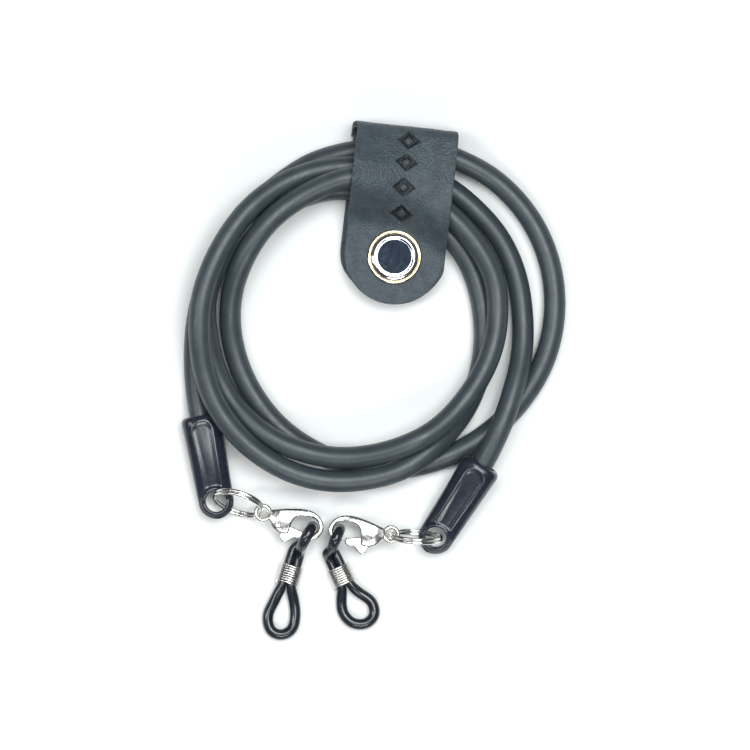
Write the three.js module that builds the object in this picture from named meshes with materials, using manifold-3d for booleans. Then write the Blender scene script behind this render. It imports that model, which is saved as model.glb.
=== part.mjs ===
// Eyeglass retainer strap, coiled and held by a snapped leather keeper.
// Millimetres, +Z up, the table is z = 0. The strap is a round rubber cord with a moulded
// cap at each end. Each cap holds a split ring, a lobster clasp and an elastic glasses loop
// with a coil-spring collar.
import * as THREE from "three";
import Module from "manifold-3d";

const wasm = await Module();
wasm.setup();

// ---- driving dimensions ----
const CORD_R = 2.0;
const COIL_X = 5.3;
const COIL_Y = 12.9;
const CAP_LEN = 16.1;
const CAP_W = 7.4;
const CAP_H = 6.0;
const CAP_END_R = 3.05;
const CAP_END_H = 2.6;
const CAP_BORE = 7.2;
const EYELET_R = 2.05;
const RING_R = 4.68;
const RING_WIRE_R = 0.28;
const RING_STEP = 0.64;
const CLASP_T = 2.4;
const LEVER_T = 1.0;
const SLOT_T = 1.6;
const PIVOT = [3.2, -1.5];
const LOOP_R = 1.0;
const PINCH = 0.7;
const COLLAR_LEN = 3.9;
const COLLAR_WIRE_R = 0.2;
const COLLAR_TURNS = 8;
const KEEPER_W = 18.6;
const KEEPER_LEN = 32.8;
const KEEPER_T = 1.2;
const KEEPER_X = 12.86;
const KEEPER_Y = 46.96;
const KEEPER_TURN = (-6.4 * Math.PI) / 180;
const FOLD_SPLIT_Z = 6.2;
const SNAP_U = 24.1;
const SNAP_CAP_R = 5.0;
const SNAP_LEVEL = 4.5;

// ---- helpers ----
const deg = (a) => (a * Math.PI) / 180;

function material(color, metalness, roughness) {
  return new THREE.MeshStandardMaterial({ color, metalness, roughness });
}

function solid(geometry) {
  let g = geometry.index ? geometry.toNonIndexed() : geometry.clone();
  const position = g.getAttribute("position");
  const seen = new Map();
  const points = [];
  const triangles = [];
  for (let i = 0; i < position.count; i++) {
    const p = [position.getX(i), position.getY(i), position.getZ(i)];
    const key = p.map((c) => Math.round(c * 2000)).join();
    if (!seen.has(key)) {
      seen.set(key, points.length / 3);
      points.push(...p);
    }
    triangles.push(seen.get(key));
  }
  const kept = [];
  for (let i = 0; i < triangles.length; i += 3) {
    const [a, b, c] = triangles.slice(i, i + 3);
    if (a !== b && b !== c && a !== c) kept.push(a, b, c);
  }
  return new wasm.Manifold(
    new wasm.Mesh({
      numProp: 3,
      vertProperties: new Float32Array(points),
      triVerts: new Uint32Array(kept),
    }),
  );
}

function geometryOf(made) {
  const mesh = made.getMesh();
  return new THREE.BufferGeometry()
    .setAttribute("position", new THREE.BufferAttribute(mesh.vertProperties, 3))
    .setIndex(new THREE.BufferAttribute(mesh.triVerts, 1));
}

// A closed surface through loops of equal length, its two ends closed to their middles.
function loft(loops) {
  const points = [];
  const push = (...corners) => corners.forEach((v) => points.push(v.x, v.y, v.z));
  const count = loops[0].length;
  const middle = (loop) =>
    loop
      .reduce((sum, v) => sum.add(v), new THREE.Vector3())
      .divideScalar(count);
  for (let i = 0; i + 1 < loops.length; i++) {
    for (let j = 0; j < count; j++) {
      const k = (j + 1) % count;
      push(loops[i][j], loops[i][k], loops[i + 1][k]);
      push(loops[i][j], loops[i + 1][k], loops[i + 1][j]);
    }
  }
  const first = loops[0];
  const last = loops[loops.length - 1];
  for (let j = 0; j < count; j++) {
    const k = (j + 1) % count;
    push(middle(first), first[k], first[j]);
    push(middle(last), last[j], last[k]);
  }
  return new THREE.BufferGeometry().setAttribute(
    "position",
    new THREE.Float32BufferAttribute(points, 3),
  );
}

function rod(radius, low, high, sides = 24) {
  const shape = new THREE.Shape().absarc(0, 0, radius, 0, 2 * Math.PI);
  const g = new THREE.ExtrudeGeometry(shape, {
    depth: high - low,
    bevelEnabled: false,
    curveSegments: sides,
  });
  return g.translate(0, 0, low);
}

function plate(shape, thickness, bevel = 0, curveSegments = 6) {
  const g = new THREE.ExtrudeGeometry(shape, {
    depth: thickness - 2 * bevel,
    bevelEnabled: bevel > 0,
    bevelThickness: bevel,
    bevelSize: bevel,
    bevelOffset: -bevel,
    bevelSegments: 1,
    curveSegments,
  });
  return g.translate(0, 0, bevel - thickness / 2);
}

function tube(points, radius, steps, sides) {
  const path = new THREE.CatmullRomCurve3(points, false, "centripetal");
  const section = new THREE.Shape().absarc(0, 0, radius, 0, 2 * Math.PI);
  return new THREE.ExtrudeGeometry(section, {
    extrudePath: path,
    steps,
    bevelEnabled: false,
    curveSegments: sides,
  });
}

// ---- end caps: mouth at the origin, the eyelet towards -Y ----
const capHeight = (s) =>
  CAP_H / 2 - ((CAP_H - CAP_END_H) / 2) * Math.pow(Math.min(s / CAP_LEN, 1), 2.2);

function endCap() {
  const loops = [];
  const stations = [0, 0.35, 1, 3, 7, 11, 14, 15.2, 16.1, 17.2, 18.1, 18.75, 19.1];
  for (const s of stations) {
    const along = Math.min(s / CAP_LEN, 1);
    let w = CAP_W / 2 + (CAP_END_R - CAP_W / 2) * along;
    let h = capHeight(s);
    if (s < 1) {
      w -= 0.55 * Math.pow(1 - s, 2);
      h -= 0.55 * Math.pow(1 - s, 2);
    }
    if (s > CAP_LEN) {
      const reach = (s - CAP_LEN) / CAP_END_R;
      w = CAP_END_R * Math.sqrt(1 - reach * reach);
      h *= 1 - 0.3 * Math.pow(reach, 3);
    }
    const loop = [];
    for (let i = 0; i < 20; i++) {
      const a = (i / 20) * 2 * Math.PI;
      const x = Math.sign(Math.cos(a)) * Math.pow(Math.abs(Math.cos(a)), 0.72) * w;
      const z = Math.sign(Math.sin(a)) * Math.pow(Math.abs(Math.sin(a)), 0.72) * h;
      loop.push(new THREE.Vector3(x, -s, z));
    }
    loops.push(loop);
  }
  let body = solid(loft(loops));
  for (const side of [1, -1]) {
    const rim = new THREE.LatheGeometry(
      [
        new THREE.Vector2(1.5, 0.6),
        new THREE.Vector2(2.75, 0.6),
        new THREE.Vector2(2.7, 1.55),
        new THREE.Vector2(2.45, 1.7),
        new THREE.Vector2(2.1, 1.7),
        new THREE.Vector2(1.5, 1.4),
        new THREE.Vector2(1.5, 0.6),
      ],
      24,
    );
    rim.rotateX(Math.PI / 2);
    if (side < 0) rim.rotateX(Math.PI);
    rim.translate(0, -CAP_LEN, 0);
    body = body.add(solid(rim));
    const panel = new THREE.Shape();
    panel.absarc(0, -3, 1.7, 0, Math.PI);
    panel.lineTo(-1.6, -6);
    panel.lineTo(-1.5, -9.3);
    panel.absarc(0, -12.6, 1.36, Math.PI, 2 * Math.PI);
    panel.lineTo(1.5, -9.3);
    panel.lineTo(1.6, -6);
    const cut = plate(panel, 4, 0, 8).translate(0, 0, 4);
    const position = cut.getAttribute("position");
    for (let i = 0; i < position.count; i++) {
      if (position.getZ(i) < 4) position.setZ(i, capHeight(-position.getY(i)) - 0.2);
    }
    if (side < 0) cut.rotateY(Math.PI);
    body = body.subtract(solid(cut));
  }
  const bore = rod(CORD_R + 0.25, -1, CAP_BORE, 16);
  bore.rotateX(Math.PI / 2);
  body = body.subtract(solid(bore));
  const hole = rod(EYELET_R, -4, 4, 20);
  hole.translate(0, -CAP_LEN, 0);
  body = body.subtract(solid(hole));
  const flare = new THREE.LatheGeometry(
    [
      new THREE.Vector2(0, 0.4),
      new THREE.Vector2(1.7, 0.4),
      new THREE.Vector2(2.5, 2.2),
      new THREE.Vector2(0, 2.2),
    ],
    20,
  );
  flare.rotateX(Math.PI / 2);
  for (const side of [1, -1]) {
    const cut = flare.clone();
    if (side < 0) cut.rotateX(Math.PI);
    cut.translate(0, -CAP_LEN, 0);
    body = body.subtract(solid(cut));
  }
  return geometryOf(body);
}

// ---- split ring: one wire of two turns, its axis along Z ----
function splitRing() {
  const points = [];
  const gap = 30;
  for (let a = gap; a <= 720 - gap; a += 15) {
    const t = THREE.MathUtils.smoothstep(a, 360 - gap + 4, 360 + gap - 4);
    const z = (t - 0.5) * RING_STEP;
    points.push(new THREE.Vector3(RING_R * Math.cos(deg(a)), RING_R * Math.sin(deg(a)), z));
  }
  return tube(points, RING_WIRE_R, 46, 4);
}

// ---- lobster clasp: eye at the origin, hook towards +X, spine towards +Y ----
function claspBody() {
  const outline = new THREE.Shape();
  outline.moveTo(-0.3, 1.45);
  outline.splineThru(
    [
      [1.6, 1.3],
      [3.7, 1.75],
      [5.9, 2.3],
      [8.0, 2.55],
      [9.9, 2.1],
      [11.15, 0.95],
      [11.55, -0.5],
      [11.0, -1.95],
      [10.0, -2.7],
      [9.0, -2.9],
    ].map(([x, y]) => new THREE.Vector2(x, y)),
  );
  outline.lineTo(8.75, -2.0);
  outline.splineThru(
    [
      [9.6, -1.75],
      [10.45, -1.1],
      [10.75, -0.2],
      [10.15, 0.95],
      [8.8, 1.4],
      [7.1, 1.25],
      [6.0, 0.6],
      [5.6, -0.4],
    ].map(([x, y]) => new THREE.Vector2(x, y)),
  );
  outline.lineTo(5.4, -2.6);
  outline.splineThru(
    [
      [4.2, -2.85],
      [2.5, -2.35],
      [1.1, -1.5],
      [-0.3, -1.45],
    ].map(([x, y]) => new THREE.Vector2(x, y)),
  );
  outline.closePath();
  let body = solid(plate(outline, CLASP_T, 0.3, 2));
  const eye = rod(1.7, -0.8, 0.8, 20);
  body = body.add(solid(eye));
  const eyeHole = new THREE.LatheGeometry(
    [
      new THREE.Vector2(0, -2),
      new THREE.Vector2(1.5, -2),
      new THREE.Vector2(1.0, -0.45),
      new THREE.Vector2(1.0, 0.45),
      new THREE.Vector2(1.5, 2),
      new THREE.Vector2(0, 2),
    ],
    18,
  );
  body = body.subtract(solid(eyeHole.rotateX(Math.PI / 2)));
  for (const side of [1, -1]) {
    const step = new THREE.BoxGeometry(4, 6, 1);
    step.translate(-0.6, 0, side * 1.3);
    body = body.subtract(solid(step));
  }
  const slot = new THREE.BoxGeometry(5.1, 4.6, SLOT_T);
  slot.translate(4.35, -1.95, 0);
  body = body.subtract(solid(slot));
  const pinHole = rod(0.65, -2, 2, 12);
  pinHole.translate(PIVOT[0], PIVOT[1], 0);
  return geometryOf(body.subtract(solid(pinHole)));
}

// The lever is drawn about its pivot, in the clasp's own directions.
function claspLever() {
  const outline = new THREE.Shape();
  outline.moveTo(-0.95, 0.5);
  outline.splineThru(
    [
      [0.2, 0.95],
      [1.8, 0.45],
      [3.6, 0.1],
      [4.95, -0.2],
    ].map(([x, y]) => new THREE.Vector2(x, y)),
  );
  outline.lineTo(5.1, -1.2);
  outline.splineThru(
    [
      [4.3, -1.55],
      [3.4, -1.6],
      [2.7, -2.2],
      [2.2, -2.7],
      [1.4, -2.75],
      [0.9, -2.2],
      [0.6, -1.5],
      [-0.5, -1.0],
      [-1.1, -0.2],
    ].map(([x, y]) => new THREE.Vector2(x, y)),
  );
  outline.closePath();
  let lever = solid(plate(outline, LEVER_T, 0.15, 2));
  lever = lever.subtract(solid(rod(0.65, -2, 2, 12)));
  return geometryOf(lever);
}

// ---- glasses loop: one elastic cord, pinched where the collar holds it ----
function glassesLoop(points, pinchFrom, pinchTo) {
  const path = new THREE.CatmullRomCurve3(points, false, "centripetal");
  const steps = 66;
  const section = new THREE.Shape().absarc(0, 0, LOOP_R, 0, 2 * Math.PI);
  const g = new THREE.ExtrudeGeometry(section, {
    extrudePath: path,
    steps,
    bevelEnabled: false,
    curveSegments: 4,
  });
  const along = pinchTo.clone().sub(pinchFrom).normalize();
  const reach = pinchTo.distanceTo(pinchFrom);
  const middles = path.getSpacedPoints(steps);
  const position = g.getAttribute("position");
  const v = new THREE.Vector3();
  for (let i = 0; i < position.count; i++) {
    v.fromBufferAttribute(position, i);
    let near = middles[0];
    for (const m of middles) if (m.distanceTo(v) < near.distanceTo(v)) near = m;
    const s = near.clone().sub(pinchFrom).dot(along);
    const outside = Math.max(-s, s - reach, 0);
    const off = near.clone().sub(pinchFrom).addScaledVector(along, -s).length();
    const held = off < 3 ? 1 - THREE.MathUtils.smoothstep(outside, 0, 2.4) : 0;
    v.sub(near).multiplyScalar(1 + (PINCH - 1) * held).add(near);
    position.setXYZ(i, v.x, v.y, v.z);
  }
  return g;
}

// ---- collar: an oval coil spring about the Y axis, from y = 0 to y = COLLAR_LEN ----
function collar() {
  const points = [];
  const a = 2.0;
  const b = 1.35;
  const perTurn = 12;
  const length = COLLAR_LEN - 2 * COLLAR_WIRE_R;
  for (let i = 0; i <= COLLAR_TURNS * perTurn; i++) {
    const t = (i / perTurn) * 2 * Math.PI;
    const y = COLLAR_WIRE_R + (length * i) / (COLLAR_TURNS * perTurn);
    points.push(new THREE.Vector3(a * Math.cos(t), y, b * Math.sin(t)));
  }
  return tube(points, COLLAR_WIRE_R, COLLAR_TURNS * perTurn, 3);
}

// ---- leather keeper ----
// Lengths u run from the fold towards the round end, v across the strip.
// The flap rises from the fold to a ridge over the highest strand and drops to the snap.
const EDGE = KEEPER_W / 2;
const ridgeHeight = (v) => 10.6 + (v < 0 ? 3.1 * Math.pow(-v / EDGE, 0.75) : 0);
const ridgeAt = (v) => 11.1 + (v < 0 ? (0.8 * v) / EDGE : (4.2 * v) / EDGE);
const slopeEnd = (v) => 18.0 + (v > 0 ? (4.7 * v) / EDGE : 0);

function flapLine(v) {
  const top = ridgeHeight(v);
  const shoulder = 8.9 + 0.12 * (top - 10);
  const from = ridgeAt(v) + 1.3;
  const to = slopeEnd(v);
  return [
    [KEEPER_T / 2, FOLD_SPLIT_Z + 0.3],
    [KEEPER_T / 2 + 0.15, FOLD_SPLIT_Z + 1.2],
    [1.25, shoulder - 0.75],
    [2.6, shoulder],
    [(2.6 + ridgeAt(v)) / 2, (shoulder + top) / 2 + 0.35],
    [ridgeAt(v) - 1.2, top],
    [from, top - 0.2],
    [(from * 2 + to) / 3, (top * 2 + SNAP_LEVEL) / 3 + 0.1],
    [(from + to * 2) / 3, (top + SNAP_LEVEL * 2) / 3],
    [to, SNAP_LEVEL + 0.15],
    [to + 1.4, SNAP_LEVEL],
    [26, SNAP_LEVEL],
    [29.5, SNAP_LEVEL - 0.1],
    [KEEPER_LEN - 0.05, SNAP_LEVEL - 0.3],
  ];
}

function backLine() {
  const low = KEEPER_T / 2;
  return [
    [low, FOLD_SPLIT_Z],
    [low, 4.2],
    [0.75, 2.4],
    [1.35, 1.15],
    [2.6, low + 0.05],
    [5, low + 0.05],
    [15, low],
    [24, low],
    [KEEPER_LEN - 0.45, low],
  ];
}

// A strip of leather whose middle line may differ across its width.
function strip(lineAt, stations, across, endInset) {
  const half = (u) => {
    const round = KEEPER_W / 2 - endInset;
    const middle = KEEPER_LEN - KEEPER_W / 2 - 0.1;
    if (u < middle) return round;
    const reach = Math.min((u - middle) / (KEEPER_W / 2 + 0.02), 0.992);
    return round * Math.sqrt(1 - reach * reach);
  };
  const rows = [];
  for (let i = 0; i <= stations; i++) {
    const under = [];
    const over = [];
    for (let j = 0; j <= across; j++) {
      const share = (2 * j) / across - 1;
      const at = (v) => {
        const curve = new THREE.SplineCurve(
          lineAt(v).map(([u, z]) => new THREE.Vector2(u, z)),
        );
        return [curve.getPoint(i / stations), curve.getTangent(i / stations)];
      };
      let v = share * (KEEPER_W / 2 - endInset);
      const width = half(at(v)[0].x);
      v = share * width;
      const [p, t] = at(v);
      const n = new THREE.Vector2(-t.y, t.x).multiplyScalar(KEEPER_T / 2);
      over.push(new THREE.Vector3(v, -(p.x + n.x), p.y + n.y));
      under.push(new THREE.Vector3(v, -(p.x - n.x), p.y - n.y));
    }
    rows.push([...under, ...over.reverse()]);
  }
  const points = [];
  const push = (...corners) => corners.forEach((c) => points.push(c.x, c.y, c.z));
  const count = rows[0].length;
  for (let i = 0; i < stations; i++) {
    for (let j = 0; j < count; j++) {
      const k = (j + 1) % count;
      push(rows[i][j], rows[i][k], rows[i + 1][k]);
      push(rows[i][j], rows[i + 1][k], rows[i + 1][j]);
    }
  }
  for (const [row, turned] of [
    [rows[0], false],
    [rows[stations], true],
  ]) {
    for (let j = 0; j < across; j++) {
      const a = row[j];
      const b = row[j + 1];
      const c = row[count - 2 - j];
      const d = row[count - 1 - j];
      if (turned) {
        push(a, b, c);
        push(a, c, d);
      } else {
        push(a, c, b);
        push(a, d, c);
      }
    }
  }
  return new THREE.BufferGeometry().setAttribute(
    "position",
    new THREE.Float32BufferAttribute(points, 3),
  );
}

function keeperFlap() {
  let flap = solid(strip(flapLine, 26, 8, 0));
  const hole = rod(1.75, 0, 9, 16);
  hole.translate(0, -SNAP_U, 0);
  flap = flap.subtract(solid(hole));
  return geometryOf(flap);
}

function keeperBack() {
  let back = solid(strip(backLine, 22, 4, 0.35));
  const hole = rod(1.6, -1, 3, 16);
  hole.translate(0, -SNAP_U, 0);
  back = back.subtract(solid(hole));
  const recess = rod(4.3, -1, 0.62, 20);
  recess.translate(0, -SNAP_U, 0);
  back = back.subtract(solid(recess));
  return geometryOf(back);
}

function turned(profile, sides = 28) {
  return new THREE.LatheGeometry(
    profile.map(([r, z]) => new THREE.Vector2(r, z)),
    sides,
  ).rotateX(Math.PI / 2);
}

// ---- snap ----
function snapCap() {
  const seat = SNAP_LEVEL + KEEPER_T / 2 + 0.2;
  return turned([
    [0, SNAP_LEVEL - 1.25],
    [1.3, SNAP_LEVEL - 1.25],
    [1.3, seat],
    [SNAP_CAP_R - 0.15, seat],
    [SNAP_CAP_R, seat + 0.35],
    [SNAP_CAP_R - 0.2, seat + 0.75],
    [4.1, seat + 1.0],
    [3.75, seat + 0.85],
    [3.3, seat + 1.0],
    [2.2, seat + 1.2],
    [0, seat + 1.3],
  ]);
}

function snapSocket() {
  const under = SNAP_LEVEL - KEEPER_T / 2 - 0.2;
  return turned([
    [2.1, 2.15],
    [2.9, 2.15],
    [3.1, 2.5],
    [3.1, under - 0.7],
    [4.0, under - 0.55],
    [4.0, under],
    [1.8, under],
    [1.8, under - 0.5],
    [2.1, 2.15],
  ]);
}

function snapStud() {
  return turned([
    [0, KEEPER_T + 0.2],
    [3.5, KEEPER_T + 0.2],
    [3.6, KEEPER_T + 0.45],
    [3.0, KEEPER_T + 0.7],
    [1.35, KEEPER_T + 0.75],
    [1.35, KEEPER_T + 1.05],
    [1.65, KEEPER_T + 1.4],
    [1.3, KEEPER_T + 1.75],
    [0, KEEPER_T + 1.85],
  ]);
}

function snapRivet() {
  return turned([
    [0, 0],
    [3.7, 0],
    [3.9, 0.15],
    [3.8, 0.35],
    [1.2, 0.4],
    [1.2, KEEPER_T],
    [0, KEEPER_T],
  ]);
}

// ---- placing ----
const part = new THREE.Group();

function add(name, geometry, look, place) {
  const mesh = new THREE.Mesh(geometry, look);
  mesh.name = name;
  if (place) mesh.applyMatrix4(place);
  part.add(mesh);
  return mesh;
}

// Turns are applied first about X (tip), then about Y (tilt), then about Z (heading).
function placed(x, y, z, heading, tip = 0, tilt = 0) {
  const m = new THREE.Matrix4().makeTranslation(x, y, z);
  m.multiply(new THREE.Matrix4().makeRotationZ(deg(heading)));
  m.multiply(new THREE.Matrix4().makeRotationY(deg(tilt)));
  return m.multiply(new THREE.Matrix4().makeRotationX(deg(tip)));
}

const rubber = () => material(0x55606a, 0, 0.7);
const moulded = () => material(0x1b2027, 0, 0.25);
const nickel = () => material(0xc9ccd0, 1, 0.25);
const leather = () => material(0x3a434c, 0, 0.65);
const silicone = () => material(0x0d0f12, 0, 0.3);

// Cap poses: mouth position, heading of the cap's own -Y, and nose-up angle.
const LEFT_CAP = placed(-25.56, -6.13, 3.0, 10.5, -1.0);
const RIGHT_CAP = placed(26.43, -15.0, 5.2, -32.6, 7.5);

function capLead(pose, depths) {
  return depths.map((d) => new THREE.Vector3(0, -d, 0).applyMatrix4(pose));
}

// The cord's route, clockwise from the left cap: angle about the coil's middle in degrees,
// distance from it, height of the cord's middle.
const ROUTE = [
  [205.5, 35.0, 2.5],
  [198, 33.6, 2.1],
  [189, 32.3, 2.0],
  [180, 31.3, 2.0],
  [168, 30.1, 2.0],
  [157, 29.5, 2.0],
  [145, 29.0, 2.0],
  [134, 28.7, 2.0],
  [122, 28.8, 2.1],
  [110, 29.4, 2.6],
  [101, 29.5, 3.35],
  [90, 30.0, 3.5],
  [78, 31.0, 3.5],
  [66, 32.1, 3.5],
  [56, 32.9, 3.4],
  [45, 33.9, 2.4],
  [30, 34.6, 2.1],
  [15, 34.8, 2.0],
  [0, 34.5, 2.0],
  [-15, 33.8, 2.0],
  [-30, 32.6, 2.0],
  [-45, 31.5, 2.0],
  [-58, 30.6, 2.0],
  [-72, 29.8, 2.0],
  [-86, 29.0, 2.0],
  [-100, 28.2, 2.0],
  [-114, 27.4, 2.0],
  [-130, 26.7, 2.0],
  [-148, 26.0, 2.0],
  [-162, 25.7, 2.3],
  [-176, 25.5, 3.4],
  [-189, 25.2, 5.7],
  [-200, 24.8, 7.8],
  [-211, 24.6, 9.1],
  [-224, 24.5, 9.4],
  [-237, 24.3, 9.0],
  [-250, 24.4, 9.5],
  [-261, 24.8, 10.2],
  [-273, 24.7, 9.3],
  [-286, 24.1, 7.8],
  [-300, 23.6, 6.9],
  [-314, 23.3, 6.7],
  [-328, 23.5, 6.3],
  [-345, 24.1, 5.6],
  [-360, 23.9, 5.4],
  [-375, 23.9, 5.9],
  [-390, 23.9, 6.3],
  [-405, 24.2, 6.6],
  [-418, 24.9, 7.7],
  [-429, 25.3, 8.8],
  [-440, 25.8, 8.0],
  [-452, 26.6, 6.9],
  [-466, 27.7, 6.3],
  [-484, 29.0, 5.9],
  [-498, 29.7, 4.9],
  [-510, 30.1, 3.8],
  [-522, 29.9, 4.7],
  [-534, 29.8, 6.0],
  [-546, 29.9, 6.2],
  [-558, 28.8, 6.1],
  [-570, 27.4, 5.8],
  [-582, 26.1, 5.3],
  [-595, 24.8, 4.1],
  [-610, 23.9, 3.5],
  [-622, 22.9, 3.5],
  [-634, 22.1, 3.5],
  [-648, 21.3, 3.5],
  [-664, 20.8, 3.5],
  [-678, 20.6, 3.4],
  [-692, 20.8, 2.5],
  [-708, 20.9, 2.1],
  [-722, 21.4, 2.05],
  [-736, 22.4, 2.05],
  [-750, 23.7, 2.05],
  [-764, 25.3, 2.2],
  [-776, 26.6, 3.6],
  [-787, 28.0, 5.7],
  [-798, 29.7, 6.3],
  [-811, 30.8, 6.1],
  [-824, 32.0, 6.1],
  [-838, 32.7, 6.8],
  [-853, 32.9, 7.4],
  [-868, 32.7, 8.0],
  [-880, 31.9, 8.6],
  [-892, 31.1, 9.9],
  [-904, 30.5, 10.3],
  [-917, 29.6, 10.1],
  [-930, 29.0, 9.7],
  [-943, 28.7, 8.8],
  [-958, 28.2, 7.0],
  [-972, 27.5, 6.5],
  [-985, 26.8, 6.5],
  [-997, 26.8, 5.0],
  [-1010, 27.1, 3.6],
  [-1024, 27.3, 3.5],
  [-1038, 27.4, 2.9],
  [-1050, 27.9, 2.2],
  [-1065, 28.2, 2.0],
  [-1080, 28.5, 2.15],
  [-1095, 29.4, 3.3],
  [-1110, 30.6, 5.6],
  [-1120.5, 32.2, 6.2],
];

const route = [
  ...capLead(LEFT_CAP, [6.8, 4.5, 2.3, 0]),
  ...ROUTE.map(
    ([a, r, z]) =>
      new THREE.Vector3(COIL_X + r * Math.cos(deg(a)), COIL_Y + r * Math.sin(deg(a)), z),
  ),
  ...capLead(RIGHT_CAP, [0, 2.3, 4.5, 6.8]),
];
add("strap_cord", tube(route, CORD_R - 0.05, 84, 4), rubber());
add("left_end_cap", endCap(), moulded(), LEFT_CAP);
add("right_end_cap", endCap(), moulded(), RIGHT_CAP);

// Rings stand almost on edge: heading turns their plane, tip lifts it off the table.
const LEFT_RING = placed(-18.45, -22.25, 4.75, -18, 66);
const RIGHT_RING = placed(14.1, -28.4, 5.05, -4, 98);
add("left_split_ring", splitRing(), nickel(), LEFT_RING);
add("right_split_ring", splitRing(), nickel(), RIGHT_RING);

const LEFT_CLASP = placed(-14.0, -24.05, 4.0, -14);
const RIGHT_CLASP = placed(9.55, -28.0, 4.0, -7).multiply(
  new THREE.Matrix4().makeRotationY(Math.PI),
);
for (const [side, pose] of [
  ["left", LEFT_CLASP],
  ["right", RIGHT_CLASP],
]) {
  const pivot = pose.clone().multiply(new THREE.Matrix4().makeTranslation(...PIVOT, 0));
  add(side + "_clasp_body", claspBody(), nickel(), pose);
  add(side + "_clasp_lever", claspLever(), nickel(), pivot);
  add(side + "_clasp_pin", rod(0.4, -CLASP_T / 2, CLASP_T / 2, 10), nickel(), pivot);
}

// A loop: through the hook, down both sides of the collar, round the drop and back up.
function loopPoints(hook, neck, drop) {
  const n = new THREE.Vector3(neck.along[1], -neck.along[0], 0);
  const beside = (d, side, z) =>
    new THREE.Vector3(
      neck.x + neck.along[0] * d + side * 0.88 * n.x,
      neck.y + neck.along[1] * d + side * 0.88 * n.y,
      z,
    );
  const z = neck.z;
  return [
    beside(1.7, neck.first, z),
    beside(0.5, neck.first, z),
    beside(-1.2, neck.first, z),
    beside(-2.6, neck.first, z),
    ...hook.map((p) => new THREE.Vector3(...p)),
    beside(-2.6, -neck.first, z),
    beside(-1.2, -neck.first, z),
    beside(0.5, -neck.first, z),
    beside(2.2, -neck.first, z),
    beside(COLLAR_LEN, -neck.first, z),
    ...drop.map((p) => new THREE.Vector3(...p)),
    beside(COLLAR_LEN, neck.first, z),
    beside(3.2, neck.first, z),
    beside(2.0, neck.first, z),
  ];
}

const LEFT_NECK = { x: -8.57, y: -33.63, z: 1.65, along: [-0.276, -0.961], first: 1 };
const RIGHT_NECK = { x: -0.4, y: -34.0, z: 1.65, along: [0.426, -0.905], first: -1 };
const LEFT_HOOK = [
  [-7.0, -29.9, 1.25],
  [-6.0, -28.3, 1.05],
  [-5.3, -27.2, 1.5],
  [-4.92, -26.6, 2.9],
  [-4.88, -26.53, 4.0],
  [-4.92, -26.6, 5.1],
  [-5.3, -27.2, 6.5],
  [-6.15, -28.6, 6.7],
  [-7.05, -30.0, 5.2],
];
const RIGHT_HOOK = [
  [-1.3, -30.5, 1.25],
  [-0.75, -29.0, 1.05],
  [-0.2, -27.85, 1.5],
  [0.12, -27.1, 2.9],
  [0.15, -27.05, 4.0],
  [0.12, -27.1, 5.1],
  [-0.2, -27.85, 6.5],
  [-0.75, -29.2, 6.7],
  [-1.3, -30.6, 5.2],
];
const LEFT_DROP = [
  [-11.9, -40.2, 1.15],
  [-13.2, -43.2, 1.05],
  [-12.6, -45.9, 1.05],
  [-10.7, -46.7, 1.05],
  [-8.7, -45.6, 1.05],
  [-8.1, -43.0, 1.05],
  [-8.4, -40.2, 1.15],
];
const RIGHT_DROP = [
  [3.6, -38.8, 1.15],
  [6.0, -40.6, 1.05],
  [6.5, -43.0, 1.05],
  [4.9, -44.6, 1.05],
  [2.5, -44.5, 1.05],
  [0.7, -42.6, 1.05],
  [0.4, -40.0, 1.15],
];
for (const [side, neck, hook, drop] of [
  ["left", LEFT_NECK, LEFT_HOOK, LEFT_DROP],
  ["right", RIGHT_NECK, RIGHT_HOOK, RIGHT_DROP],
]) {
  const top = new THREE.Vector3(neck.x, neck.y, neck.z);
  const foot = top
    .clone()
    .add(new THREE.Vector3(...neck.along, 0).multiplyScalar(COLLAR_LEN));
  const start = top
    .clone()
    .add(new THREE.Vector3(...neck.along, 0).multiplyScalar(-2.3));
  add(side + "_glasses_loop", glassesLoop(loopPoints(hook, neck, drop), start, foot), silicone());
  const heading = (Math.atan2(-neck.along[0], neck.along[1]) * 180) / Math.PI;
  add(side + "_loop_collar", collar(), nickel(), placed(top.x, top.y, top.z, heading));
}

const KEEPER = placed(KEEPER_X, KEEPER_Y, 0, (KEEPER_TURN * 180) / Math.PI);
const SNAP = KEEPER.clone().multiply(new THREE.Matrix4().makeTranslation(0, -SNAP_U, 0));
add("keeper_back", keeperBack(), leather(), KEEPER);
add("keeper_flap", keeperFlap(), leather(), KEEPER);
add("snap_cap", snapCap(), nickel(), SNAP);
add("snap_socket", snapSocket(), nickel(), SNAP);
add("snap_stud", snapStud(), nickel(), SNAP);
add("snap_back_rivet", snapRivet(), nickel(), SNAP);

export default part;
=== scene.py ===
"""Looks for the eyeglass retainer strap: a coiled rubber cord with a moulded cap at each end, split
rings, lobster clasps and elastic glasses loops, all held by a snapped leather keeper. Metres, +Z up."""
import math

import bmesh
import bpy
import numpy as np
from mathutils import Matrix, Vector, noise


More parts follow.
